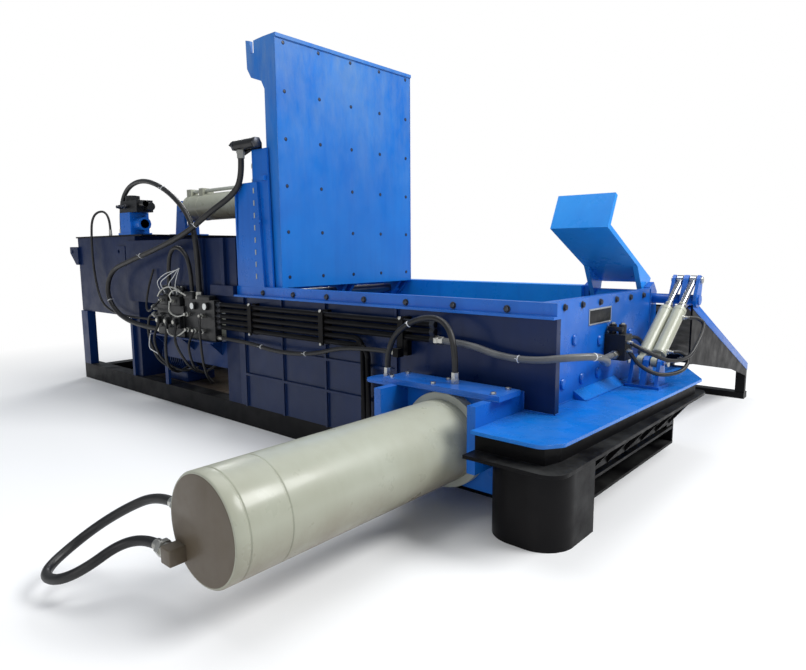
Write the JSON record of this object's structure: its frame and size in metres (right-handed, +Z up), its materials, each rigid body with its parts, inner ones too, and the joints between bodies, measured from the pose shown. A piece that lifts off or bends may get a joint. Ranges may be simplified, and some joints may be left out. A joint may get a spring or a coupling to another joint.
{
  "type": "recycling baler",
  "caption": "Hydraulic scrap metal baler: a press box with a main ram, a side ram, a hinged cover and a turn-out arm, on a skid with oil tank, valves and discharge slide.",
  "frame": {"origin": "on the floor under the middle of the skid", "axes": "+X along the machine from the oil tank to the bale chamber, +Y across it away from the side press, +Z up"},
  "size_m": [7.211, 6.4968, 3.384],
  "materials": {
    "blue_paint": "gloss enamel over welded plate, dusty on top",
    "deck_paint": "gloss enamel on the deck plate",
    "tank_paint": "gloss enamel over sheet steel",
    "black_paint": "black enamel, scuffed and dusty",
    "cylinder_paint": "pale enamel on the cylinders",
    "wear_steel": "bare wear plate, rubbed bright in places",
    "zinc": "zinc plated bolts and fittings",
    "dark_steel": "machined steel pins and shafts",
    "rod_chrome": "hard chrome on the rods",
    "plate_aluminium": "bare anodised plate",
    "valve_black": "phosphated valve bodies",
    "hose_rubber": "wrapped cover, matte"
  },
  "bodies": {
    "machine": {"base_frame": "black_paint", "tank_stand": "blue_paint", "oil_tank": "tank_paint", "tank_cover": "blue_paint", "crosshead": "blue_paint", "housing_near_plate": "blue_paint", "housing_far_plate": "blue_paint", "hinge_beam": "blue_paint", "box_floor": "wear_steel", "near_side_wall": "blue_paint", "near_rim_rail": "blue_paint", "far_side_wall": "blue_paint", "bearing_posts": "blue_paint", "end_wall": "blue_paint", "wall_bolts": "zinc", "nameplate": "plate_aluminium", "deck_plate": "deck_paint", "deck_skirt": "black_paint", "near_foot": "black_paint", "side_housing": "blue_paint", "keeper_bar": "blue_paint", "side_cylinder": "cylinder_paint", "main_cylinder": "cylinder_paint", "lid_cylinder_bracket": "blue_paint", "tower": "blue_paint", "tower_bracket": "black_paint", "turnout_pedestal": "blue_paint", "discharge_chute": "blue_paint", "pump_body": "blue_paint", "pump_valve": "valve_black", "drive_motor": "blue_paint", "valve_stand": "blue_paint", "valve_manifold": "valve_black", "valve_heads": "valve_black", "pressure_pipes": "black_paint", "pipe_clamps": "black_paint", "end_valve_block": "valve_black", "hose_fittings": "zinc", "pump_hose": "hose_rubber", "tower_hose": "hose_rubber", "return_hose": "hose_rubber", "drop_hose": "hose_rubber", "wall_hose": "hose_rubber", "seat_hose": "hose_rubber", "end_hose": "hose_rubber", "turnout_hose": "hose_rubber", "cap_hose": "hose_rubber"},
    "main_press": {"main_rod": "rod_chrome", "main_ram": "blue_paint"},
    "side_press": {"side_rod": "rod_chrome", "side_ram": "wear_steel"},
    "lid_assembly": {"lid": "blue_paint", "lid_liner_bolts": "dark_steel", "lid_hinge_pin": "dark_steel"},
    "lid_cylinder": {"lid_barrel": "cylinder_paint"},
    "lid_piston": {"lid_rod": "rod_chrome"},
    "turnout": {"turnout_arm": "blue_paint", "turnout_shaft": "dark_steel"},
    "turnout_cylinders": {"turnout_barrels": "valve_black"},
    "turnout_pistons": {"turnout_rods": "rod_chrome"}
  },
  "joints": [
    {"name": "main_press_slide", "type": "slide", "parent": "machine", "child": "main_press", "axis": [1, 0, 0], "range_m": [0, 1.75]},
    {"name": "side_press_slide", "type": "slide", "parent": "machine", "child": "side_press", "axis": [0, 1, 0], "range_m": [0, 1.15]},
    {"name": "lid_hinge", "type": "hinge", "parent": "machine", "child": "lid_assembly", "pos_m": [0.47, -0.056, 1.21], "axis": [0, 1, 0], "range_deg": [0, 90]},
    {"name": "lid_cylinder_swing", "type": "hinge", "parent": "machine", "child": "lid_cylinder", "pos_m": [-2.25, -0.056, 2.13], "axis": [0, 1, 0], "range_deg": [0, 10.5]},
    {"name": "lid_rod_slide", "type": "slide", "parent": "lid_cylinder", "child": "lid_piston", "axis": [1, 0, 0], "range_m": [0, 1.232]},
    {"name": "turnout_swing", "type": "hinge", "parent": "machine", "child": "turnout", "pos_m": [3, 0.953, 1.198], "axis": [1, 0, 0], "range_deg": [0, 115.8]},
    {"name": "turnout_cylinder_swing", "type": "hinge", "parent": "machine", "child": "turnout_cylinders", "pos_m": [3.4, 0.198, 0.801], "axis": [1, 0, 0], "range_deg": [-2.1, 0]},
    {"name": "turnout_rod_slide", "type": "slide", "parent": "turnout_cylinders", "child": "turnout_pistons", "axis": [0, 0.8255, 0.5644], "range_m": [-0.274, 0]}
  ],
  "couplings": [
    {"joint": "lid_cylinder_swing", "follows": "lid_hinge", "ratio": 0.1159},
    {"joint": "lid_rod_slide", "follows": "lid_hinge", "m_per_rad": 0.7837},
    {"joint": "turnout_cylinder_swing", "follows": "turnout_swing", "ratio": -0.0177},
    {"joint": "turnout_rod_slide", "follows": "turnout_swing", "m_per_rad": -0.135}
  ]
}
